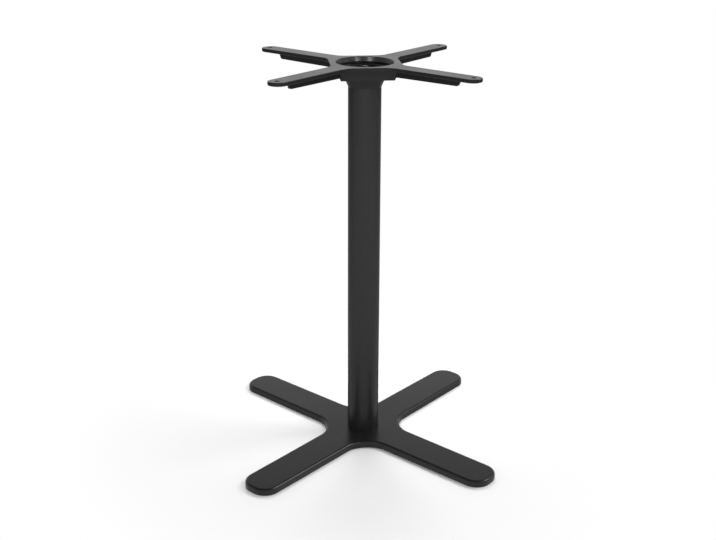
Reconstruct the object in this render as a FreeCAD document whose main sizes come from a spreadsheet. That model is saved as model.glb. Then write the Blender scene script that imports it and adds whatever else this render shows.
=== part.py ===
"""Four star table base: a cast foot, a steel column and a cast top spider, held together by one tie rod.

Millimetres. The origin is on the floor under the column's axis, +Z is up and the four legs lie
along +X, +Y, -X and -Y. Each casting is drawn in its own frame and placed on the column's axis.
"""
import FreeCAD, Part
import math
import os

import Sketcher

document = FreeCAD.newDocument("four_star_table_base")
sheet = document.addObject("Spreadsheet::Sheet", "Sizes")

QUARTERS = 4
FULL_TURN = 360.0
TOUCH = 1e-4

# How a sketch numbers its own origin, axes and the ends of its curves, and the size that a curve
# or a tie has before its expression is solved.
SKETCH_ORIGIN = (-1, 1)
ACROSS_AXIS, UPWARD_AXIS = -1, -2
LINE_START, LINE_END, CIRCLE_CENTRE = range(1, 4)
ROUGH_SIZE = 1.0

# Driving dimensions, in millimetres and degrees: name, value, what it is.
SIZES = [
    ("total_height", 738, "floor to the face that the table top lies on"),
    ("glide_stand", 2, "gap between the floor and the lower edge of the legs"),
    ("leg_reach", 306.1, "axis to the end of a leg"),
    ("leg_root_half", 35.8, "half width of a leg, carried on to the axis"),
    ("leg_tip_half", 34.7, "half width of a leg at its end"),
    ("leg_tip_round", 29.8, "radius of the two corners at a leg's end"),
    ("leg_crotch_flat", 72.6, "axis to the flat between two legs"),
    ("leg_crotch_round", 47, "radius where that flat runs into a leg"),
    ("leg_depth", 12, "lower edge to top face of the foot casting"),
    ("leg_edge_round", 4.8, "rounding of the foot's upper edge"),
    ("foot_wall", 5, "thickness of the foot's top and skirt"),
    ("leg_rib_width", 5, "web under the middle of each leg"),
    ("leg_rib_drop", 3, "how far that web stands below the skin"),
    ("foot_boss_radius", 28, "boss under the column"),
    ("seat_ring_radius", 31.2, "raised ring that the column stands on"),
    ("seat_ring_height", 1, "height of that ring"),
    ("foot_spigot_height", 11.5, "spigot inside the column, above the ring"),
    ("foot_clamp_depth", 8, "iron between the nut's recess and the spigot's top"),
    ("foot_recess_radius", 17, "recess for the lower nut and its spanner"),
    ("glide_inset", 38.5, "a leg's end to the middle of its glide"),
    ("glide_boss_radius", 16, "boss that a glide is pushed into"),
    ("glide_pad_radius", 14, "glide's pad"),
    ("glide_pad_height", 6, "floor to the face of the boss"),
    ("glide_edge_bevel", 1.5, "bevel of the pad's lower edge"),
    ("glide_stem_radius", 4, "glide's stem"),
    ("glide_stem_length", 5.5, "length of the stem above the pad"),
    ("glide_bore_spare", 0.5, "bore left over past the stem's end"),
    ("glide_clearance", 0.1, "stem to its bore"),
    ("column_radius", 30.15, "outside of the column tube"),
    ("column_wall", 2, "wall of the column tube"),
    ("spigot_clearance", 0.4, "spigots to the inside of the column"),
    ("arm_reach", 245, "axis to the end of an arm"),
    ("arm_root_half", 17.5, "half width of an arm, carried on to the axis"),
    ("arm_tip_half", 17.1, "half width of an arm at its end"),
    ("arm_tip_round", 16.6, "radius of the corners at an arm's end"),
    ("arm_crotch_flat", 63.5, "axis to the flat between two arms"),
    ("arm_crotch_round", 30, "radius where that flat runs into an arm"),
    ("arm_thickness", 6.8, "plate of the arms and hub"),
    ("arm_top_bevel", 0.8, "ground bevel of the plate's upper edge"),
    ("arm_under_round", 2, "rounding of the plate's lower edge"),
    ("arm_rib_width", 5, "web under each arm"),
    ("arm_rib_drop", 12.9, "how far that web stands below the plate, at the nut pocket"),
    ("arm_rib_end_drop", 11.1, "the same at the web's outer end"),
    ("arm_rib_inset", 39.8, "an arm's end to the web's end, at the plate"),
    ("arm_rib_slant", 5, "how much shorter the web is at its lower edge"),
    ("arm_rib_round", 4, "rounding of the web's lower corner"),
    ("hub_block_half", 47.5, "half side of the square hub at its lower face"),
    ("hub_block_drop", 25.4, "top face to the hub's lower face"),
    ("hub_lip", 6.8, "plate outside the hub's upper end, between the arms"),
    ("cup_radius", 52.5, "rim of the open cup"),
    ("cup_floor_radius", 49, "floor of the cup"),
    ("cup_depth", 10, "depth of the cup"),
    ("cup_edge_bevel", 0.8, "bevel of the cup's rim"),
    ("pocket_radius", 30, "nut pocket in the cup's floor, at its rim"),
    ("pocket_floor_radius", 20, "floor of that pocket"),
    ("pocket_depth", 26, "top face to the pocket's floor"),
    ("collar_radius", 38.5, "collar above the column, where it leaves the hub"),
    ("collar_drop", 44, "top face to the column's upper end"),
    ("top_spigot_length", 8, "spigot inside the column, below the collar"),
    ("spider_twist", 2.05, "the spider was clamped turned by this much from the legs"),
    ("screw_inset", 15, "an arm's end to the middle of its table-top screw"),
    ("screw_hole_radius", 4.5, "clearance hole for that screw"),
    ("rod_radius", 6, "tie rod"),
    ("rod_clearance", 0.5, "tie rod to the castings"),
    ("rod_point", 1, "chamfer at each end of the rod"),
    ("rod_overrun", 1.2, "rod past the lower nut"),
    ("rod_overrun_top", 3, "rod past the upper nut"),
    ("thread_clearance", 0.1, "nut to rod"),
    ("nut_flats", 18, "nut across flats"),
    ("nut_height", 10.8, "nut height"),
    ("washer_radius", 12, "plain washer"),
    ("washer_thickness", 2.5, "plain washer"),
    ("lock_radius", 10.4, "split lock washer"),
    ("lock_thickness", 2.5, "split lock washer, pressed flat"),
    ("lock_gap", 2, "slit in the lock washer"),
]

for row, (name, number, meaning) in enumerate(SIZES, start=1):
    sheet.set(f"A{row}", name.replace("_", " "))
    sheet.set(f"B{row}", str(number))
    sheet.setAlias(f"B{row}", name)
    sheet.set(f"C{row}", meaning)
document.recompute()


def new_body(label):
    """An empty piece with its own label, which names its file."""
    body = document.addObject("PartDesign::Body", label)
    body.Label = label
    return body


def origin_part(body, role):
    """One of the body's own origin planes or axes."""
    return next(part for part in body.Origin.OriginFeatures if part.Role == role)


def new_sketch(body, name, role="XY_Plane", lift=None):
    """A sketch on an origin plane; lift is an expression for its height above that plane."""
    sketch = body.newObject("Sketcher::SketchObject", name)
    sketch.AttachmentSupport = [(origin_part(body, role), "")]
    sketch.MapMode = "FlatFace"
    if lift:
        sketch.setExpression("AttachmentOffset.Base.z", lift)
    return sketch


def bind_point(sketch, curve, end, across, upward):
    """Tie one point to the sketch's origin by two expressions; None keeps it on that axis."""
    for kind, expression, axis in (("DistanceX", across, UPWARD_AXIS), ("DistanceY", upward, ACROSS_AXIS)):
        if expression is None:
            sketch.addConstraint(Sketcher.Constraint("PointOnObject", curve, end, axis))
        else:
            tie = Sketcher.Constraint(kind, *SKETCH_ORIGIN, curve, end, ROUGH_SIZE)
            index = sketch.addConstraint(tie)
            sketch.setExpression(f"Constraints[{index}]", expression)


def polygon(body, name, points, role="XY_Plane", lift=None):
    """A closed outline whose corners are pairs of expressions. Its first positions are rough."""
    sketch = new_sketch(body, name, role, lift)
    turn = 2 * math.pi / len(points)
    rough = [FreeCAD.Vector(math.cos(turn * k), math.sin(turn * k)) for k in range(len(points))]
    for k in range(len(points)):
        sketch.addGeometry(Part.LineSegment(rough[k], rough[(k + 1) % len(points)]))
    for k, (across, upward) in enumerate(points):
        sketch.addConstraint(Sketcher.Constraint("Coincident", k, LINE_START, (k - 1) % len(points), LINE_END))
        bind_point(sketch, k, LINE_START, across, upward)
    return sketch


def circles(body, name, radii, across=None, lift=None):
    """Concentric circles with their centre on the X axis, at the expression across."""
    sketch = new_sketch(body, name, lift=lift)
    for curve, radius in enumerate(radii):
        middle = FreeCAD.Vector(ROUGH_SIZE, 0, 0)
        sketch.addGeometry(Part.Circle(middle, FreeCAD.Vector(0, 0, 1), ROUGH_SIZE + curve))
        bind_point(sketch, curve, CIRCLE_CENTRE, across, None)
        index = sketch.addConstraint(Sketcher.Constraint("Radius", curve, ROUGH_SIZE + curve))
        sketch.setExpression(f"Constraints[{index}]", radius)
    return sketch


def extrude(body, kind, sketch, length, down=False, symmetric=False):
    """A Pad or Pocket of a sketch along its normal, or against it when down is true."""
    feature = body.newObject(f"PartDesign::{kind}", f"{sketch.Name}_{kind.lower()}")
    feature.Profile = sketch
    feature.setExpression("Length", length)
    feature.Reversed = down if kind == "Pad" else not down
    if symmetric:
        feature.SideType = "Symmetric"
    sketch.Visibility = False
    document.recompute()
    return feature


def turn_about_z(body, kind, sketch):
    """A Revolution or Groove of a half section about the column's axis."""
    feature = body.newObject(f"PartDesign::{kind}", f"{sketch.Name}_{kind.lower()}")
    feature.Profile = sketch
    feature.ReferenceAxis = (sketch, ["V_Axis"])
    feature.Angle = FULL_TURN
    document.recompute()
    return feature


def repeat_four_times(body, feature):
    """The same feature in all four quarters."""
    pattern = body.newObject("PartDesign::PolarPattern", f"{feature.Name}_round")
    pattern.Originals = [feature]
    pattern.Axis = (origin_part(body, "Z_Axis"), [""])
    pattern.Angle = FULL_TURN
    pattern.Occurrences = QUARTERS
    body.Tip = pattern
    document.recompute()
    return pattern


def dress(body, kind, name, measure, wanted):
    """A Fillet or Chamfer of the edges of the body so far that wanted(edge) picks."""
    base = body.Tip
    picked = [f"Edge{k}" for k, edge in enumerate(base.Shape.Edges, start=1) if wanted(edge)]
    feature = body.newObject(f"PartDesign::{kind}", name)
    feature.Base = (base, picked)
    feature.setExpression("Radius" if kind == "Fillet" else "Size", measure)
    document.recompute()
    return feature


def heights(edge):
    """Lowest and highest point of an edge."""
    return edge.BoundBox.ZMin, edge.BoundBox.ZMax


def is_level(edge, z):
    """True for an edge that lies at the height z."""
    low, high = heights(edge)
    return abs(low - z) < TOUCH and abs(high - z) < TOUCH


def is_upright(edge):
    """True for a straight edge parallel to Z."""
    box = edge.BoundBox
    return box.XLength < TOUCH and box.YLength < TOUCH and box.ZLength > TOUCH


def from_axis(edge):
    """Distance of an edge's middle from the column's axis."""
    middle = edge.valueAt((edge.FirstParameter + edge.LastParameter) / 2)
    return math.hypot(middle.x, middle.y)


def is_ring(edge, radius, z):
    """True for a whole circle about the axis."""
    return is_level(edge, z) and len(edge.Vertexes) == 1 and abs(from_axis(edge) - radius) < TOUCH


def ring(label, inner, outer, thickness):
    """A flat ring, or a tube when it is long."""
    body = new_body(label)
    sketch = circles(body, f"{label}_section", [outer, inner])
    extrude(body, "Pad", sketch, thickness)
    return body


def place(body, z, x=None, y=None):
    """Put a finished piece on the column's axis, or at x, y, by expressions."""
    for axis, expression in (("x", x), ("y", y), ("z", z)):
        if expression:
            body.setExpression(f"Placement.Base.{axis}", expression)


def limb(body, name, reach, root_half, tip_half, lift=None):
    """Plan of one leg or arm along +X, tapering from the axis to its end."""
    points = [(None, f"-({root_half})"), (reach, f"-({tip_half})"), (reach, tip_half), (None, root_half)]
    return polygon(body, name, points, lift=lift)


def square_hub(body, name, half, lift=None):
    """Square plan with its flats between the legs, each at the distance half from the axis."""
    corner = f"({half}) * sqrt(2)"
    points = [(corner, None), (None, corner), (f"-{corner}", None), (None, f"-{corner}")]
    return polygon(body, name, points, lift=lift)


# Foot casting. Its own frame has z = 0 at the lower edge of the legs.
# A shell with a rounded upper edge, hollow from below, with a web in each leg, a boss for each
# glide and one boss under the column, where the lower nut pulls against the iron.
FOOT_TOP = sheet.get("leg_depth")
HOLLOW_TOP = "(Sizes.leg_depth - Sizes.foot_wall)"
SKIN_MIDDLE = "(Sizes.leg_depth - Sizes.foot_wall / 2)"
RING_TOP = "(Sizes.leg_depth + Sizes.seat_ring_height)"
FOOT_SPIGOT_TOP = f"({RING_TOP} + Sizes.foot_spigot_height)"
RECESS_TOP = f"({FOOT_SPIGOT_TOP} - Sizes.foot_clamp_depth)"
SPIGOT_RADIUS = "(Sizes.column_radius - Sizes.column_wall - Sizes.spigot_clearance)"
ROD_HOLE = "(Sizes.rod_radius + Sizes.rod_clearance)"
BOSS_FACE = "(Sizes.glide_pad_height - Sizes.glide_stand)"
GLIDE_CIRCLE = "(Sizes.leg_reach - Sizes.glide_inset)"

foot = new_body("foot_casting")
leg = limb(foot, "leg", "Sizes.leg_reach", "Sizes.leg_root_half", "Sizes.leg_tip_half")
repeat_four_times(foot, extrude(foot, "Pad", leg, "Sizes.leg_depth"))
extrude(foot, "Pad", square_hub(foot, "foot_hub", "Sizes.leg_crotch_flat"), "Sizes.leg_depth")


def at_leg_end(edge):
    """True for an edge in the round end of a leg."""
    return from_axis(edge) > sheet.get("leg_reach") - sheet.get("leg_tip_round")


dress(foot, "Fillet", "leg_ends", "Sizes.leg_tip_round", lambda edge: is_upright(edge) and at_leg_end(edge))
dress(
    foot, "Fillet", "leg_crotches", "Sizes.leg_crotch_round",
    lambda edge: is_upright(edge) and not at_leg_end(edge),
)

solid_foot = foot.Tip
under = next(k for k, face in enumerate(solid_foot.Shape.Faces, start=1) if face.BoundBox.ZMax < TOUCH)
shell = foot.newObject("PartDesign::Thickness", "foot_shell")
shell.Base = (solid_foot, [f"Face{under}"])
shell.setExpression("Value", "Sizes.foot_wall")
shell.Reversed = True
document.recompute()
dress(foot, "Fillet", "leg_upper_edge", "Sizes.leg_edge_round", lambda edge: is_level(edge, FOOT_TOP))

leg_web = polygon(foot, "leg_web", [
    (None, "-Sizes.leg_rib_width / 2"),
    (GLIDE_CIRCLE, "-Sizes.leg_rib_width / 2"),
    (GLIDE_CIRCLE, "Sizes.leg_rib_width / 2"),
    (None, "Sizes.leg_rib_width / 2"),
], lift=f"{HOLLOW_TOP} - Sizes.leg_rib_drop")
repeat_four_times(foot, extrude(foot, "Pad", leg_web, "Sizes.leg_rib_drop + Sizes.foot_wall / 2"))
extrude(foot, "Pad", circles(foot, "column_boss", ["Sizes.foot_boss_radius"]), SKIN_MIDDLE)
glide_boss = circles(foot, "glide_boss", ["Sizes.glide_boss_radius"], across=GLIDE_CIRCLE, lift=BOSS_FACE)
repeat_four_times(foot, extrude(foot, "Pad", glide_boss, f"{SKIN_MIDDLE} - {BOSS_FACE}"))

column_seat = polygon(foot, "column_seat", [
    (None, SKIN_MIDDLE),
    ("Sizes.seat_ring_radius", SKIN_MIDDLE),
    ("Sizes.seat_ring_radius", RING_TOP),
    (SPIGOT_RADIUS, RING_TOP),
    (SPIGOT_RADIUS, FOOT_SPIGOT_TOP),
    (None, FOOT_SPIGOT_TOP),
], role="XZ_Plane")
turn_about_z(foot, "Revolution", column_seat)
nut_recess = polygon(foot, "nut_recess", [
    (None, None),
    ("Sizes.foot_recess_radius", None),
    ("Sizes.foot_recess_radius", RECESS_TOP),
    (ROD_HOLE, RECESS_TOP),
    (ROD_HOLE, FOOT_SPIGOT_TOP),
    (None, FOOT_SPIGOT_TOP),
], role="XZ_Plane")
turn_about_z(foot, "Groove", nut_recess)
glide_bore = circles(
    foot, "glide_bore", ["Sizes.glide_stem_radius + Sizes.glide_clearance"],
    across=GLIDE_CIRCLE, lift=BOSS_FACE,
)
bore = extrude(foot, "Pocket", glide_bore, "Sizes.glide_stem_length + Sizes.glide_bore_spare")
repeat_four_times(foot, bore)
place(foot, "Sizes.glide_stand")

# Top spider. Its own frame has z = 0 at the face under the table top.
# A flat plate with four arms, a web under each arm and a square tapered hub under the middle.
# The hub holds an open cup with a pocket for the upper nut, and a collar runs down to the column.
spider = new_body("top_spider")
arm = limb(spider, "arm", "Sizes.arm_reach", "Sizes.arm_root_half", "Sizes.arm_tip_half")
repeat_four_times(spider, extrude(spider, "Pad", arm, "Sizes.arm_thickness", down=True))
plate_hub = square_hub(spider, "plate_hub", "Sizes.arm_crotch_flat")
extrude(spider, "Pad", plate_hub, "Sizes.arm_thickness", down=True)
PLATE_LOWER = -sheet.get("arm_thickness")


def at_arm_end(edge):
    """True for an edge in the round end of an arm."""
    return from_axis(edge) > sheet.get("arm_reach") - sheet.get("arm_tip_round")


dress(spider, "Fillet", "arm_ends", "Sizes.arm_tip_round", lambda edge: is_upright(edge) and at_arm_end(edge))
dress(
    spider, "Fillet", "arm_crotches", "Sizes.arm_crotch_round",
    lambda edge: is_upright(edge) and not at_arm_end(edge),
)
dress(spider, "Fillet", "plate_lower_edge", "Sizes.arm_under_round", lambda edge: is_level(edge, PLATE_LOWER))
dress(spider, "Chamfer", "plate_upper_edge", "Sizes.arm_top_bevel", lambda edge: is_level(edge, 0))

block_plans = [
    square_hub(spider, "hub_upper", "Sizes.arm_crotch_flat - Sizes.hub_lip", "-Sizes.arm_thickness / 2"),
    square_hub(spider, "hub_lower", "Sizes.hub_block_half", "-Sizes.hub_block_drop"),
]
hub_block = spider.newObject("PartDesign::AdditiveLoft", "hub_block")
hub_block.Profile = block_plans[0]
hub_block.Sections = block_plans[1:]
hub_block.Ruled = True
document.recompute()

WEB_ROOT = "-(Sizes.arm_thickness + Sizes.arm_rib_drop)"
WEB_END = "-(Sizes.arm_thickness + Sizes.arm_rib_end_drop)"
WEB_REACH = "(Sizes.arm_reach - Sizes.arm_rib_inset)"
arm_web = polygon(spider, "arm_web", [
    ("Sizes.pocket_radius", "-Sizes.arm_thickness / 2"),
    (WEB_REACH, "-Sizes.arm_thickness / 2"),
    (WEB_REACH, "-Sizes.arm_thickness"),
    (f"{WEB_REACH} - Sizes.arm_rib_slant", WEB_END),
    ("Sizes.pocket_radius", WEB_ROOT),
], role="XZ_Plane")
repeat_four_times(spider, extrude(spider, "Pad", arm_web, "Sizes.arm_rib_width", symmetric=True))
WEB_END_Z = -(sheet.get("arm_thickness") + sheet.get("arm_rib_end_drop"))
WEB_END_REACH = sheet.get("arm_reach") - sheet.get("arm_rib_inset") - sheet.get("arm_rib_slant")
dress(
    spider, "Fillet", "web_corners", "Sizes.arm_rib_round",
    lambda edge: is_level(edge, WEB_END_Z) and abs(from_axis(edge) - WEB_END_REACH) < TOUCH,
)

collar = polygon(spider, "collar", [
    (None, "-Sizes.hub_block_drop / 2"),
    ("Sizes.collar_radius", "-Sizes.hub_block_drop / 2"),
    ("Sizes.collar_radius", "-Sizes.hub_block_drop"),
    ("Sizes.column_radius", "-Sizes.collar_drop"),
    (SPIGOT_RADIUS, "-Sizes.collar_drop"),
    (SPIGOT_RADIUS, "-(Sizes.collar_drop + Sizes.top_spigot_length)"),
    (None, "-(Sizes.collar_drop + Sizes.top_spigot_length)"),
], role="XZ_Plane")
turn_about_z(spider, "Revolution", collar)
cup = polygon(spider, "cup", [
    (None, None),
    ("Sizes.cup_radius", None),
    ("Sizes.cup_floor_radius", "-Sizes.cup_depth"),
    ("Sizes.pocket_radius", "-Sizes.cup_depth"),
    ("Sizes.pocket_floor_radius", "-Sizes.pocket_depth"),
    (ROD_HOLE, "-Sizes.pocket_depth"),
    (ROD_HOLE, "-(Sizes.collar_drop + Sizes.top_spigot_length)"),
    (None, "-(Sizes.collar_drop + Sizes.top_spigot_length)"),
], role="XZ_Plane")
turn_about_z(spider, "Groove", cup)
dress(
    spider, "Chamfer", "cup_rim", "Sizes.cup_edge_bevel",
    lambda edge: is_ring(edge, sheet.get("cup_radius"), 0),
)
screw_hole = circles(
    spider, "screw_hole", ["Sizes.screw_hole_radius"], across="Sizes.arm_reach - Sizes.screw_inset",
)
hole = extrude(spider, "Pocket", screw_hole, "Sizes.arm_thickness", down=True)
repeat_four_times(spider, hole)
place(spider, "Sizes.total_height")
spider.setExpression("Placement.Rotation.Angle", "Sizes.spider_twist")

# Column. It stands on the ring of the foot and carries the spider's collar.
COLUMN_FOOT = f"(Sizes.glide_stand + {RING_TOP})"
column = ring(
    "column_tube", "Sizes.column_radius - Sizes.column_wall", "Sizes.column_radius",
    f"Sizes.total_height - Sizes.collar_drop - {COLUMN_FOOT}",
)
place(column, COLUMN_FOOT)

# Fasteners. From each clamped face outwards: plain washer, lock washer, nut, end of the rod.
LOWER_FACE = f"(Sizes.glide_stand + {RECESS_TOP})"
UPPER_FACE = "(Sizes.total_height - Sizes.pocket_depth)"
WASHERS = "(Sizes.washer_thickness + Sizes.lock_thickness)"
STACK = f"({WASHERS} + Sizes.nut_height)"


def lock_washer(label):
    """A ring with one slit."""
    body = ring(label, ROD_HOLE, "Sizes.lock_radius", "Sizes.lock_thickness")
    slit = polygon(body, f"{label}_slit", [
        (None, "-Sizes.lock_gap / 2"),
        ("Sizes.washer_radius", "-Sizes.lock_gap / 2"),
        ("Sizes.washer_radius", "Sizes.lock_gap / 2"),
        (None, "Sizes.lock_gap / 2"),
    ])
    extrude(body, "Pocket", slit, "Sizes.lock_thickness")
    return body


def hex_nut(label):
    """A hexagon with a bore and with its corners turned down at 30 degrees on both faces."""
    body = new_body(label)
    corner = "(Sizes.nut_flats / sqrt(3))"
    points = []
    for across, upward in ((1, 0), (0.5, 1), (-0.5, 1), (-1, 0), (-0.5, -1), (0.5, -1)):
        points.append((f"{across} * {corner}", f"{upward} * Sizes.nut_flats / 2" if upward else None))
    extrude(body, "Pad", polygon(body, f"{label}_flats", points), "Sizes.nut_height")
    bore_sketch = circles(body, f"{label}_bore", ["Sizes.rod_radius + Sizes.thread_clearance"])
    extrude(body, "Pocket", bore_sketch, "Sizes.nut_height")
    width = "Sizes.nut_flats / 4"
    faces = ((None, f"{width} * tan(30 deg)"), ("Sizes.nut_height", f"Sizes.nut_height - {width} * tan(30 deg)"))
    for side, (face, depth) in enumerate(faces):
        cone = polygon(body, f"{label}_cone{side}", [
            ("Sizes.nut_flats / 2", face),
            (f"Sizes.nut_flats / 2 + {width}", face),
            (f"Sizes.nut_flats / 2 + {width}", depth),
        ], role="XZ_Plane")
        turn_about_z(body, "Groove", cone)
    return body


fasteners = {
    "lower_washer": (f"{LOWER_FACE} - Sizes.washer_thickness", None),
    "lower_lock_washer": (f"{LOWER_FACE} - {WASHERS}", lock_washer),
    "lower_nut": (f"{LOWER_FACE} - {STACK}", hex_nut),
    "upper_washer": (UPPER_FACE, None),
    "upper_lock_washer": (f"{UPPER_FACE} + Sizes.washer_thickness", lock_washer),
    "upper_nut": (f"{UPPER_FACE} + {WASHERS}", hex_nut),
}
pieces = [foot, column, spider]
for label, (z, maker) in fasteners.items():
    if maker:
        piece = maker(label)
    else:
        piece = ring(label, ROD_HOLE, "Sizes.washer_radius", "Sizes.washer_thickness")
    place(piece, z)
    pieces.append(piece)

# Tie rod. It draws the two castings onto the ends of the column.
ROD_FOOT = f"({LOWER_FACE} - {STACK} - Sizes.rod_overrun)"
rod = new_body("tie_rod")
rod_section = circles(rod, "rod_section", ["Sizes.rod_radius"])
extrude(rod, "Pad", rod_section, f"{UPPER_FACE} + {STACK} + Sizes.rod_overrun_top - {ROD_FOOT}")
dress(rod, "Chamfer", "rod_points", "Sizes.rod_point", lambda edge: len(edge.Vertexes) == 1)
place(rod, ROD_FOOT)
pieces.append(rod)

# Glides. A nylon pad with a stem that is pushed into the boss at the end of each leg.
for quarter, label in enumerate(("glide_right", "glide_back", "glide_left", "glide_front")):
    glide = new_body(label)
    section = polygon(glide, f"{label}_section", [
        (None, None),
        ("Sizes.glide_pad_radius", None),
        ("Sizes.glide_pad_radius", "Sizes.glide_pad_height"),
        ("Sizes.glide_stem_radius", "Sizes.glide_pad_height"),
        ("Sizes.glide_stem_radius", "Sizes.glide_pad_height + Sizes.glide_stem_length"),
        (None, "Sizes.glide_pad_height + Sizes.glide_stem_length"),
    ], role="XZ_Plane")
    turn_about_z(glide, "Revolution", section)
    dress(
        glide, "Chamfer", f"{label}_edge", "Sizes.glide_edge_bevel",
        lambda edge: is_ring(edge, sheet.get("glide_pad_radius"), 0),
    )
    angle = f"{quarter} * 90 deg"
    place(
        glide, None,
        x=f"{GLIDE_CIRCLE} * cos({angle})",
        y=f"{GLIDE_CIRCLE} * sin({angle})",
    )
    pieces.append(glide)

document.recompute()


def check_steps(body):
    """Every cut takes iron away and every added form adds some."""
    volume = 0.0
    for feature in body.Group:
        if feature.isDerivedFrom("Sketcher::SketchObject"):
            continue
        kind = feature.TypeId
        grown = feature.Shape.Volume - volume
        if kind.endswith(("Pocket", "Groove")) and grown >= 0:
            raise ValueError(f"{body.Label}: {feature.Name} cuts nothing")
        if kind.endswith(("Pad", "Revolution", "AdditiveLoft")) and grown <= 0:
            raise ValueError(f"{body.Label}: {feature.Name} adds nothing")
        volume = feature.Shape.Volume


for thing in document.Objects:
    if "Invalid" in thing.State or "Error" in thing.State:
        raise ValueError(f"{thing.Label} failed: {thing.State}")
for piece in pieces:
    if piece.Shape.isNull() or not piece.Shape.isValid() or len(piece.Shape.Solids) != 1:
        raise ValueError(f"{piece.Label} is not one sound solid")
    check_steps(piece)

os.makedirs("parts", exist_ok=True)
for piece in pieces:
    piece.Shape.exportStep(f"parts/{piece.Label}.step")
    print(piece.Label, round(piece.Shape.Volume), "mm3", len(piece.Shape.Faces), "faces")
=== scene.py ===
import math

import bpy
from mathutils import Matrix, Vector


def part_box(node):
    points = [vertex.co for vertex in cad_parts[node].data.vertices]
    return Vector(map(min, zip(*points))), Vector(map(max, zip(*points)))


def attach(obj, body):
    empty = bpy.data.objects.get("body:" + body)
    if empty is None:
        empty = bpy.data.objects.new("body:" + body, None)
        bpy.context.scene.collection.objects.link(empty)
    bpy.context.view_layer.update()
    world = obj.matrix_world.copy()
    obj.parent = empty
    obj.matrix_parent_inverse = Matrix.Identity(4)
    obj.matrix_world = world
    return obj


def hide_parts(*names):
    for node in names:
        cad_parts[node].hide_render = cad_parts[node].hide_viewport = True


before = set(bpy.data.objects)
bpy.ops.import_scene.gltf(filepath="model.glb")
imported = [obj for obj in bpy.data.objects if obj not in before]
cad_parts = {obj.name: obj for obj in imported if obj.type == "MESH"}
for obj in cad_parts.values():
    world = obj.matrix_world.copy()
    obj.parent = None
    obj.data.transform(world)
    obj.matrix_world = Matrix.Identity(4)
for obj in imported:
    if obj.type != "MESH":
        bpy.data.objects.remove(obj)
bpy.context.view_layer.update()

# Foot casting.
# Cast iron in one piece: four flat legs with a rounded upper edge, hollow underneath, and a low
# ring under the column. It is shot-blasted, then powder coated in satin black with a fine grain.
FOOT_BLACK = (0.0095, 0.0095, 0.0091)
FOOT_ROUGHNESS = 0.29
FOOT_SPECULAR = 0.38
CAST_GRAIN_SIZE = 0.0011
CAST_WAVE_SIZE = 0.0065
CAST_WAVE_SHARE = 0.35
CAST_BUMP = 0.00004
GRAIN_DETAIL, WAVE_DETAIL = 1.5, 3.0
PATCHES_PER_METRE, PATCH_DETAIL = 14.0, 4.0
NOISE_RANGE = (0.3, 0.7)
COAT_TONES = (0.7, 1.35)
GLOSS_SWING = 0.03


def feed(tree, socket, value):
    """Links a socket to another node's output, or sets it to a plain value."""
    if isinstance(value, bpy.types.NodeSocket):
        tree.links.new(value, socket)
    else:
        socket.default_value = value


def step(tree, operation, *values):
    """One step of arithmetic on sockets or numbers."""
    node = tree.nodes.new("ShaderNodeMath")
    node.operation = operation
    for socket, value in zip(node.inputs, values):
        feed(tree, socket, value)
    return node.outputs["Value"]


def fade(tree, value, span, levels, curve="LINEAR"):
    """Runs from the first level to the second while a value goes through its span."""
    node = tree.nodes.new("ShaderNodeMapRange")
    node.interpolation_type = curve
    names = ("Value", "From Min", "From Max", "To Min", "To Max")
    for name, part in zip(names, (value, *span, *levels)):
        feed(tree, node.inputs[name], part)
    return node.outputs["Result"]


def object_place(tree):
    """Where a point lies on its own piece."""
    return tree.nodes.new("ShaderNodeTexCoord").outputs["Object"]


def noise(tree, lumps_per_metre, detail):
    """Noise over the piece, as fine as a number or a socket says."""
    node = tree.nodes.new("ShaderNodeTexNoise")
    node.inputs["Detail"].default_value = detail
    feed(tree, node.inputs["Scale"], lumps_per_metre)
    feed(tree, node.inputs["Vector"], object_place(tree))
    return node.outputs["Fac"]


def tones(tree, value, colour, shares, span=(0.0, 1.0)):
    """Runs from a darker to a lighter share of a colour while a value goes through its span."""
    node = tree.nodes.new("ShaderNodeValToRGB")
    for stop, share, position in zip(node.color_ramp.elements, shares, span):
        stop.position = position
        stop.color = (*[share * part for part in colour], 1.0)
    feed(tree, node.inputs["Fac"], value)
    return node.outputs["Color"]


def relief(tree, height, depth):
    """A bumpy surface with a depth in metres."""
    node = tree.nodes.new("ShaderNodeBump")
    node.inputs["Strength"].default_value = 1.0
    node.inputs["Distance"].default_value = depth
    feed(tree, node.inputs["Height"], height)
    return node.outputs["Normal"]


def new_finish(name):
    """A new material, its node tree and the inputs of its shader."""
    material = bpy.data.materials.new(name)
    material.use_nodes = True
    return material, material.node_tree, material.node_tree.nodes["Principled BSDF"].inputs


def finish_node(node, material):
    """Gives a node of the frame its finish in place of the plain one."""
    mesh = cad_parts[node].data
    mesh.materials.clear()
    mesh.materials.append(material)


def powder_texture_group():
    """Height, tone and gloss of a baked powder coat: grain of a given size over a slower wave."""
    group = bpy.data.node_groups.new("powder_texture", "ShaderNodeTree")
    for name in ("Grain Size", "Wave Size", "Wave Share"):
        group.interface.new_socket(name, in_out="INPUT", socket_type="NodeSocketFloat")
    for name in ("Height", "Tone", "Gloss"):
        group.interface.new_socket(name, in_out="OUTPUT", socket_type="NodeSocketFloat")
    given = group.nodes.new("NodeGroupInput").outputs
    surface = group.nodes.new("NodeGroupOutput").inputs
    grain = noise(group, step(group, "DIVIDE", 1.0, given["Grain Size"]), GRAIN_DETAIL)
    wave = noise(group, step(group, "DIVIDE", 1.0, given["Wave Size"]), WAVE_DETAIL)
    both = group.nodes.new("ShaderNodeMix")
    feed(group, both.inputs["Factor"], given["Wave Share"])
    feed(group, both.inputs["A"], grain)
    feed(group, both.inputs["B"], wave)
    feed(group, surface["Height"], both.outputs["Result"])
    feed(group, surface["Tone"], grain)
    feed(group, surface["Gloss"], noise(group, PATCHES_PER_METRE, PATCH_DETAIL))
    return group


powder_texture = powder_texture_group()


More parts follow.
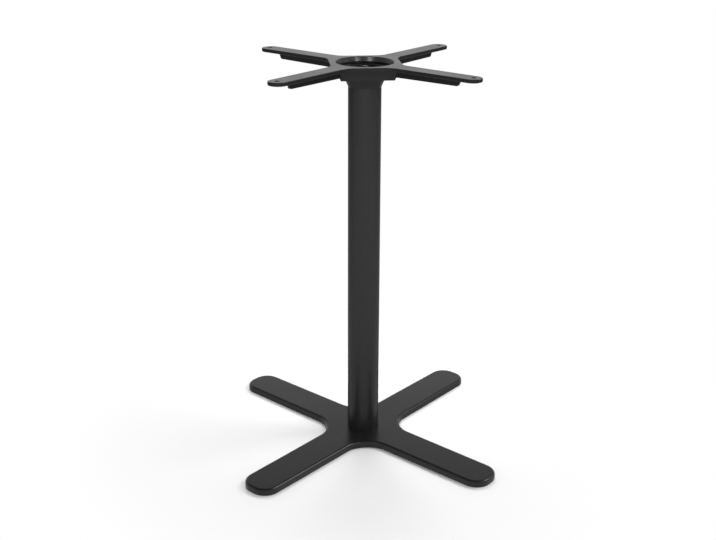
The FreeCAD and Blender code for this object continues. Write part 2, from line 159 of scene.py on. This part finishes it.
def powder_coat(name, colour, roughness, specular, grain_size, wave_size, wave_share, bump):
    """Satin powder coat whose grain shows in its relief, a little in its tone and in its gloss."""
    material, tree, shader = new_finish(name)
    texture = tree.nodes.new("ShaderNodeGroup")
    texture.node_tree = powder_texture
    texture.inputs["Grain Size"].default_value = grain_size
    texture.inputs["Wave Size"].default_value = wave_size
    texture.inputs["Wave Share"].default_value = wave_share
    surface = texture.outputs
    gloss_levels = (roughness - GLOSS_SWING, roughness + GLOSS_SWING)
    shader["Specular IOR Level"].default_value = specular
    feed(tree, shader["Base Color"], tones(tree, surface["Tone"], colour, COAT_TONES, NOISE_RANGE))
    feed(tree, shader["Roughness"], fade(tree, surface["Gloss"], NOISE_RANGE, gloss_levels))
    feed(tree, shader["Normal"], relief(tree, surface["Height"], bump))
    return material


foot_coat = powder_coat(
    "foot_powder_coat", FOOT_BLACK, FOOT_ROUGHNESS, FOOT_SPECULAR,
    CAST_GRAIN_SIZE, CAST_WAVE_SIZE, CAST_WAVE_SHARE, CAST_BUMP,
)
finish_node("foot_casting", foot_coat)

# Glides.
# Four black nylon pads, turned or moulded with a stem, and pushed into bosses under the leg ends.
# They keep the iron just clear of the floor. Nylon is matt, with a faint moulded grain.
NYLON_BLACK = (0.014, 0.014, 0.014)
NYLON_TONES = (0.8, 1.3)
NYLON_ROUGHNESS = 0.55
NYLON_BUMP = 0.00002
NYLON_GRAINS_PER_METRE, NYLON_DETAIL = 1400.0, 2.0

nylon, nylon_tree, nylon_shader = new_finish("glide_nylon")
nylon_grain = noise(nylon_tree, NYLON_GRAINS_PER_METRE, NYLON_DETAIL)
nylon_shader["Roughness"].default_value = NYLON_ROUGHNESS
feed(nylon_tree, nylon_shader["Base Color"], tones(nylon_tree, nylon_grain, NYLON_BLACK, NYLON_TONES))
feed(nylon_tree, nylon_shader["Normal"], relief(nylon_tree, nylon_grain, NYLON_BUMP))
for side in ("right", "back", "left", "front"):
    finish_node(f"glide_{side}", nylon)

# Column.
# A welded steel tube of 60.3 mm, cut square at both ends. Its coat is the same powder, but it lies
# smoother on drawn steel than on sand-cast iron, so only the fine orange peel shows.
TUBE_BLACK = (0.0110, 0.0110, 0.0110)
TUBE_ROUGHNESS = 0.33
TUBE_SPECULAR = 0.355
TUBE_GRAIN_SIZE = 0.0014
TUBE_WAVE_SIZE = 0.012
TUBE_WAVE_SHARE = 0.15
TUBE_BUMP = 0.00003

tube_coat = powder_coat(
    "column_powder_coat", TUBE_BLACK, TUBE_ROUGHNESS, TUBE_SPECULAR,
    TUBE_GRAIN_SIZE, TUBE_WAVE_SIZE, TUBE_WAVE_SHARE, TUBE_BUMP,
)
finish_node("column_tube", tube_coat)

# Top spider.
# Cast iron in one piece: a plate with four drilled arms, a web under each, a square hub with an
# open cup, and a collar that sits on the column. Its top is ground flat before it is coated. The cup
# and the nut pocket are made rougher, and darker by painted shade: the coat there is set metallic,
# so its near-black colour loses its diffuse light.
SPIDER_BLACK = (0.0065, 0.0063, 0.0058)
SPIDER_ROUGHNESS = 0.30
SPIDER_SPECULAR = 0.31
RECESS_ROUGHNESS = 0.5
CUP_RECESS_RADIUS, CUP_RECESS_FROM, CUP_RECESS_TO = 0.0497, 0.0012, 0.011
POCKET_RECESS_RADIUS, POCKET_RECESS_FROM, POCKET_RECESS_TO = 0.0310, 0.009, 0.0263

spider_coat = powder_coat(
    "spider_powder_coat", SPIDER_BLACK, SPIDER_ROUGHNESS, SPIDER_SPECULAR,
    CAST_GRAIN_SIZE, CAST_WAVE_SIZE, CAST_WAVE_SHARE, CAST_BUMP,
)
finish_node("top_spider", spider_coat)
spider_tree = spider_coat.node_tree
spider_shader = spider_tree.nodes["Principled BSDF"].inputs
spider_axes = spider_tree.nodes.new("ShaderNodeSeparateXYZ")
feed(spider_tree, spider_axes.inputs["Vector"], object_place(spider_tree))
spider_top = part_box("top_spider")[1][2]
across, along, height = (spider_axes.outputs[axis] for axis in "XYZ")
across_squared = step(spider_tree, "MULTIPLY", across, across)
along_squared = step(spider_tree, "MULTIPLY", along, along)
from_axis_squared = step(spider_tree, "ADD", across_squared, along_squared)


def recess_zone(radius, start, end):
    """One within a radius of the axis and between two depths below the top, nought elsewhere."""
    inside = step(spider_tree, "LESS_THAN", from_axis_squared, radius ** 2)
    below = step(spider_tree, "LESS_THAN", height, spider_top - start)
    above = step(spider_tree, "GREATER_THAN", height, spider_top - end)
    return step(spider_tree, "MULTIPLY", inside, step(spider_tree, "MULTIPLY", below, above))


# The cup and the nut pocket: rougher, and darkened as painted shade.
cup_recess = recess_zone(CUP_RECESS_RADIUS, CUP_RECESS_FROM, CUP_RECESS_TO)
pocket_recess = recess_zone(POCKET_RECESS_RADIUS, POCKET_RECESS_FROM, POCKET_RECESS_TO)
rough_painted_shade = step(spider_tree, "MAXIMUM", cup_recess, pocket_recess)
coat_roughness = spider_shader["Roughness"].links[0].from_socket
rougher = step(spider_tree, "MULTIPLY", rough_painted_shade, RECESS_ROUGHNESS - SPIDER_ROUGHNESS)
feed(spider_tree, spider_shader["Roughness"], step(spider_tree, "ADD", coat_roughness, rougher))
# Painted shade: metallic in the cup and the nut pocket, so the near-black coat there loses its diffuse
# light and looks darker.
feed(spider_tree, spider_shader["Metallic"], rough_painted_shade)

# Tie rod.
# A 12 mm blackened steel rod through the whole column, with a rolled thread at both ends. It
# pulls the two castings onto the tube. The thread is a ridge on a core that is turned down to it.
ROD_RADIUS = 0.006
THREAD_ROOT = 0.0051
THREAD_PITCH = 0.00175
THREAD_LENGTH = 0.048
THREAD_RUNOUT = 0.0015
THREAD_FOOT_WIDTH = 0.0016
THREAD_CREST_WIDTH = 0.00025
ROD_POINT = 0.001
ROD_SEGMENTS = 40
OXIDE_GREY = (0.055, 0.055, 0.058)
OXIDE_TONES = (0.78, 1.12)
OXIDE_ROUGHNESS = (0.30, 0.44)
OXIDE_CLOUDS_PER_METRE, OXIDE_DETAIL = 260.0, 5.0


def lathe(name, section, segments):
    """A closed turned mesh from (radius, height) pairs, the first and last of them on its axis."""
    points, faces = [], []
    for radius, height in section[1:-1]:
        for k in range(segments):
            angle = 2 * math.pi * k / segments
            points.append((radius * math.cos(angle), radius * math.sin(angle), height))
    rings = len(section) - 2
    for ring in range(rings - 1):
        for k in range(segments):
            below, after = ring * segments, (k + 1) % segments
            faces.append((below + k, below + after, below + segments + after, below + segments + k))
    faces.append(tuple(reversed(range(segments))))
    faces.append(tuple((rings - 1) * segments + k for k in range(segments)))
    mesh = bpy.data.meshes.new(name)
    mesh.from_pydata(points, [], faces)
    mesh.validate()
    piece = bpy.data.objects.new(name, mesh)
    bpy.context.scene.collection.objects.link(piece)
    return piece


def thread_tree(material, sizes):
    """Adds a helical ridge to the rod's core at each of two heights, with a named input per size."""
    tree = bpy.data.node_groups.new("rod_thread", "GeometryNodeTree")
    tree.interface.new_socket("Core", in_out="INPUT", socket_type="NodeSocketGeometry")
    for name in sizes:
        tree.interface.new_socket(name, in_out="INPUT", socket_type="NodeSocketFloat")
    tree.interface.new_socket("Rod", in_out="OUTPUT", socket_type="NodeSocketGeometry")
    given = tree.nodes.new("NodeGroupInput").outputs
    made = tree.nodes.new("NodeGroupOutput").inputs
    ridge_height = step(tree, "SUBTRACT", given["Radius"], given["Root"])
    middle = step(tree, "ADD", given["Root"], step(tree, "MULTIPLY", ridge_height, 0.5))
    helix = tree.nodes.new("GeometryNodeCurveSpiral")
    helix.inputs["Resolution"].default_value = ROD_SEGMENTS
    feed(tree, helix.inputs["Rotations"], step(tree, "DIVIDE", given["Length"], given["Pitch"]))
    feed(tree, helix.inputs["Start Radius"], middle)
    feed(tree, helix.inputs["End Radius"], middle)
    feed(tree, helix.inputs["Height"], given["Length"])
    upright = tree.nodes.new("GeometryNodeSetCurveNormal")
    upright.mode = "Z_UP"
    feed(tree, upright.inputs["Curve"], helix.outputs["Curve"])
    flank = tree.nodes.new("GeometryNodeCurvePrimitiveQuadrilateral")
    flank.mode = "TRAPEZOID"
    flank.inputs["Offset"].default_value = 0.0
    feed(tree, flank.inputs["Bottom Width"], given["Foot Width"])
    feed(tree, flank.inputs["Top Width"], given["Crest Width"])
    feed(tree, flank.inputs["Height"], ridge_height)
    outward = tree.nodes.new("GeometryNodeTransform")
    outward.inputs["Rotation"].default_value = (0.0, 0.0, math.radians(90))
    feed(tree, outward.inputs["Geometry"], flank.outputs["Curve"])
    sweep = tree.nodes.new("GeometryNodeCurveToMesh")
    sweep.inputs["Fill Caps"].default_value = True
    feed(tree, sweep.inputs["Curve"], upright.outputs["Curve"])
    feed(tree, sweep.inputs["Profile Curve"], outward.outputs["Geometry"])
    join = tree.nodes.new("GeometryNodeJoinGeometry")
    for start in ("Lower Start", "Upper Start"):
        offset = tree.nodes.new("ShaderNodeCombineXYZ")
        feed(tree, offset.inputs["Z"], given[start])
        lift = tree.nodes.new("GeometryNodeTransform")
        feed(tree, lift.inputs["Translation"], offset.outputs["Vector"])
        feed(tree, lift.inputs["Geometry"], sweep.outputs["Mesh"])
        feed(tree, join.inputs["Geometry"], lift.outputs["Geometry"])
    feed(tree, join.inputs["Geometry"], given["Core"])
    real = tree.nodes.new("GeometryNodeRealizeInstances")
    feed(tree, real.inputs["Geometry"], join.outputs["Geometry"])
    coat = tree.nodes.new("GeometryNodeSetMaterial")
    coat.inputs["Material"].default_value = material
    feed(tree, coat.inputs["Geometry"], real.outputs["Geometry"])
    feed(tree, made["Rod"], coat.outputs["Geometry"])
    return tree


def with_tree(piece, tree, values):
    """Runs a geometry tree on a piece with the named values and keeps the plain mesh it gives."""
    modifier = piece.modifiers.new(tree.name, "NODES")
    modifier.node_group = tree
    for item in tree.interface.items_tree:
        if item.item_type == "SOCKET" and item.in_out == "INPUT" and item.name in values:
            modifier[item.identifier] = values[item.name]
    piece.update_tag()
    evaluated = piece.evaluated_get(bpy.context.evaluated_depsgraph_get())
    mesh = bpy.data.meshes.new_from_object(evaluated)
    piece.modifiers.remove(modifier)
    piece.data = mesh


oxide, oxide_tree, oxide_shader = new_finish("black_oxide")
oxide_cloud = noise(oxide_tree, OXIDE_CLOUDS_PER_METRE, OXIDE_DETAIL)
oxide_tones = tones(oxide_tree, oxide_cloud, OXIDE_GREY, OXIDE_TONES, NOISE_RANGE)
oxide_shader["Metallic"].default_value = 1.0
feed(oxide_tree, oxide_shader["Base Color"], oxide_tones)
feed(oxide_tree, oxide_shader["Roughness"], fade(oxide_tree, oxide_cloud, NOISE_RANGE, OXIDE_ROUGHNESS))

rod_low, rod_high = (corner[2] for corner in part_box("tie_rod"))
shank_low = rod_low + THREAD_LENGTH + ROD_POINT
shank_high = rod_high - THREAD_LENGTH - ROD_POINT
thread_sizes = {
    "Radius": ROD_RADIUS,
    "Root": THREAD_ROOT,
    "Pitch": THREAD_PITCH,
    "Length": THREAD_LENGTH,
    "Foot Width": THREAD_FOOT_WIDTH,
    "Crest Width": THREAD_CREST_WIDTH,
    "Lower Start": rod_low + ROD_POINT,
    "Upper Start": shank_high,
}
tie_rod = lathe("tie_rod_threaded", [
    (0.0, rod_low),
    (THREAD_ROOT - ROD_POINT, rod_low),
    (THREAD_ROOT, rod_low + ROD_POINT),
    (THREAD_ROOT, shank_low - THREAD_RUNOUT),
    (ROD_RADIUS, shank_low),
    (ROD_RADIUS, shank_high),
    (THREAD_ROOT, shank_high + THREAD_RUNOUT),
    (THREAD_ROOT, rod_high - ROD_POINT),
    (THREAD_ROOT - ROD_POINT, rod_high),
    (0.0, rod_high),
], ROD_SEGMENTS)
with_tree(tie_rod, thread_tree(oxide, thread_sizes), thread_sizes)
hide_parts("tie_rod")
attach(tie_rod, "root")

# Nuts and washers.
# Blackened steel, one set in the cup of the spider and one in the recess under the foot: a
# plain washer on the iron, a split lock washer, and a hexagon nut with turned corners.
for level in ("upper", "lower"):
    for fastener in ("washer", "lock_washer", "nut"):
        finish_node(f"{level}_{fastener}", oxide)

# Floor.
# A plain white studio floor that runs past the horizon of the view. It takes the soft shadow of
# the legs near the base, and further out it is simply white. From below it is left open, so that
# the underside of the base can be looked at.
FLOOR_RADIUS = 30.0
FLOOR_SIDES = 96
FLOOR_WHITE = 0.94
SHADOW_TO_WHITE = (0.14, 0.6)
MIRRORED_SHARE = 0.85
LANE_HEADING = 0.8688
FRONT_RANGE, FRONT_LEVELS = (-0.5, 0.6), (0.22, 0.85)
SIDE_RANGE, SIDE_LEVELS = (1.5, 2.8), (1.0, 0.3)
PLAIN_WHITE = (1.0, 1.0, 1.0, 1.0)

floor_mesh = bpy.data.meshes.new("floor")
floor_angles = [2 * math.pi * k / FLOOR_SIDES for k in range(FLOOR_SIDES)]
floor_rim = [(FLOOR_RADIUS * math.cos(a), FLOOR_RADIUS * math.sin(a), 0.0) for a in floor_angles]
floor_mesh.from_pydata(floor_rim, [], [tuple(range(FLOOR_SIDES))])
floor = bpy.data.objects.new("floor", floor_mesh)
bpy.context.scene.collection.objects.link(floor)

floor_paint = bpy.data.materials.new("floor_white")
floor_paint.use_nodes = True
floor_tree = floor_paint.node_tree
floor_tree.nodes.remove(floor_tree.nodes["Principled BSDF"])
floor_place = object_place(floor_tree)
floor_ray = floor_tree.nodes.new("ShaderNodeLightPath").outputs
from_column = floor_tree.nodes.new("ShaderNodeVectorMath")
from_column.operation = "LENGTH"
feed(floor_tree, from_column.inputs[0], floor_place)


def distance_towards(direction):
    """How far a point of the floor lies from the column towards a direction."""
    along = floor_tree.nodes.new("ShaderNodeVectorMath")
    along.operation = "DOT_PRODUCT"
    along.inputs[1].default_value = (*direction, 0.0)
    feed(floor_tree, along.inputs[0], floor_place)
    return along.outputs["Value"]


def shader_mix(tree, share, first, second):
    """Mixes two shaders, the second by its share."""
    node = tree.nodes.new("ShaderNodeMixShader")
    for socket, value in zip(node.inputs, (share, first, second)):
        feed(tree, socket, value)
    return node.outputs["Shader"]


far_out = fade(floor_tree, from_column.outputs["Value"], SHADOW_TO_WHITE, (0.0, 1.0), "SMOOTHSTEP")
seen_white = step(floor_tree, "MULTIPLY", floor_ray["Is Camera Ray"], far_out)
white_share = step(floor_tree, "MULTIPLY_ADD", floor_ray["Is Glossy Ray"], MIRRORED_SHARE, seen_white)
to_front = distance_towards((-math.sin(LANE_HEADING), -math.cos(LANE_HEADING)))
to_right = distance_towards((math.cos(LANE_HEADING), -math.sin(LANE_HEADING)))
to_side = step(floor_tree, "ABSOLUTE", to_right)
front_level = fade(floor_tree, to_front, FRONT_RANGE, FRONT_LEVELS, "SMOOTHSTEP")
side_level = fade(floor_tree, to_side, SIDE_RANGE, SIDE_LEVELS, "SMOOTHSTEP")
unlit = step(floor_tree, "SUBTRACT", 1.0, step(floor_tree, "MULTIPLY", front_level, side_level))
dimmed = step(floor_tree, "MULTIPLY", floor_ray["Is Glossy Ray"], unlit)
matt = floor_tree.nodes.new("ShaderNodeBsdfDiffuse")
matt.inputs["Color"].default_value = (FLOOR_WHITE, FLOOR_WHITE, FLOOR_WHITE, 1.0)
plain = floor_tree.nodes.new("ShaderNodeEmission")
feed(floor_tree, plain.inputs["Strength"], step(floor_tree, "SUBTRACT", 1.0, dimmed))
clear = floor_tree.nodes.new("ShaderNodeBsdfTransparent")
clear.inputs["Color"].default_value = PLAIN_WHITE
from_below = floor_tree.nodes.new("ShaderNodeNewGeometry").outputs["Backfacing"]
from_above = shader_mix(floor_tree, white_share, matt.outputs["BSDF"], plain.outputs["Emission"])
floor_look = shader_mix(floor_tree, from_below, from_above, clear.outputs["BSDF"])
feed(floor_tree, floor_tree.nodes["Material Output"].inputs["Surface"], floor_look)
floor_mesh.materials.append(floor_paint)

# Studio.
# White walls and a dimmer ceiling. One wide lamp on the right throws the column's soft shadow to
# the left. One behind throws it towards the camera, and is kept out of the gloss, where it would
# draw a light line along the legs. Two narrow lamps in front light the far wall of the cup.
SOFT_RANGE, SOFT_LEVELS = (0.35, 0.85), (0.78, 0.19)
SHOWN_RANGE, SHOWN_LEVELS = (0.43, 0.57), (0.93, 0.11)
FLOOR_MIDDLE = (0.0, 0.0, 0.0)
CUP = (0.0, 0.0, 0.728)
RIGHT_LAMP, RIGHT_POWER, RIGHT_SIZE = (2.295, -2.25, 3.4), 90.0, (2.2, 2.2)
BACK_LAMP, BACK_POWER, BACK_SIZE = (1.463, 1.368, 3.2), 58.0, (1.6, 1.6)
RIGHT_STRIP = (-0.5, -2.21, 2.38)
LEFT_STRIP = (-2.15, -0.71, 2.38)
STRIP_POWER, STRIP_SIZE = 0.75, (0.35, 0.9)
STRIP_SPREAD = math.radians(16)
WIDE_SPREAD = math.pi

studio = bpy.data.worlds.new("studio")
bpy.context.scene.world = studio
studio.use_nodes = True
studio_tree = studio.node_tree
studio_ray = studio_tree.nodes.new("ShaderNodeLightPath").outputs
sky_direction = studio_tree.nodes.new("ShaderNodeTexCoord").outputs["Generated"]
sky_axes = studio_tree.nodes.new("ShaderNodeSeparateXYZ")
feed(studio_tree, sky_axes.inputs["Vector"], sky_direction)
soft = studio_tree.nodes["Background"]
soft.inputs["Color"].default_value = PLAIN_WHITE
soft_level = fade(studio_tree, sky_axes.outputs["Z"], SOFT_RANGE, SOFT_LEVELS, "SMOOTHSTEP")
feed(studio_tree, soft.inputs["Strength"], soft_level)
shown = studio_tree.nodes.new("ShaderNodeBackground")
shown.inputs["Color"].default_value = PLAIN_WHITE
mirrored_level = fade(studio_tree, sky_axes.outputs["Z"], SHOWN_RANGE, SHOWN_LEVELS, "SMOOTHSTEP")
shown_level = step(studio_tree, "MAXIMUM", studio_ray["Is Camera Ray"], mirrored_level)
feed(studio_tree, shown.inputs["Strength"], shown_level)
camera_or_gloss = step(studio_tree, "MAXIMUM", studio_ray["Is Camera Ray"], studio_ray["Is Glossy Ray"])
seen_directly = step(studio_tree, "MAXIMUM", camera_or_gloss, studio_ray["Is Transmission Ray"])
sky_look = shader_mix(studio_tree, seen_directly, soft.outputs["Background"], shown.outputs["Background"])
feed(studio_tree, studio_tree.nodes["World Output"].inputs["Surface"], sky_look)


def area_lamp(name, shape, size, power, spread, place, target, mirrored=True):
    """A lamp turned to its target, with its beam's spread, shown in the gloss or kept out of it."""
    data = bpy.data.lights.new(name, "AREA")
    data.shape = shape
    data.size, data.size_y = size
    data.energy = power
    data.spread = spread
    lamp = bpy.data.objects.new(name, data)
    lamp.location = place
    lamp.visible_glossy = mirrored
    lamp.rotation_euler = (Vector(target) - Vector(place)).to_track_quat("-Z", "Y").to_euler()
    bpy.context.scene.collection.objects.link(lamp)


area_lamp("right_lamp", "DISK", RIGHT_SIZE, RIGHT_POWER, WIDE_SPREAD, RIGHT_LAMP, FLOOR_MIDDLE)
area_lamp("back_lamp", "DISK", BACK_SIZE, BACK_POWER, WIDE_SPREAD, BACK_LAMP, FLOOR_MIDDLE, mirrored=False)
area_lamp("left_strip", "RECTANGLE", STRIP_SIZE, STRIP_POWER, STRIP_SPREAD, LEFT_STRIP, CUP)
area_lamp("right_strip", "RECTANGLE", STRIP_SIZE, STRIP_POWER, STRIP_SPREAD, RIGHT_STRIP, CUP)

# Camera.
# It stands as the photographer's did: just above the table's height, looking down between two
# legs. The place and the turns were fitted to the edges of the legs, arms and column.
CAMERA_PLACE = (-1.48774, -1.26591, 1.09341)
CAMERA_HEADING = 0.86881
CAMERA_PITCH = 0.32620
CAMERA_ROLL = 0.00668
CAMERA_LENS = 55.485
CAMERA_SENSOR = 36.0
CAMERA_SHIFT = (-0.01279, -0.06401)
CAMERA_REACH = 100.0

camera_data = bpy.data.cameras.new("camera")
camera_data.sensor_width = CAMERA_SENSOR
camera_data.lens = CAMERA_LENS
camera_data.shift_x, camera_data.shift_y = CAMERA_SHIFT
camera_data.clip_end = CAMERA_REACH
camera = bpy.data.objects.new("camera", camera_data)
camera.matrix_world = (
    Matrix.Translation(CAMERA_PLACE)
    @ Matrix.Rotation(-CAMERA_HEADING, 4, "Z")
    @ Matrix.Rotation(math.pi / 2 - CAMERA_PITCH, 4, "X")
    @ Matrix.Rotation(CAMERA_ROLL, 4, "Z")
)
bpy.context.scene.collection.objects.link(camera)
bpy.context.scene.camera = camera
bpy.context.scene.view_settings.view_transform = "Standard"
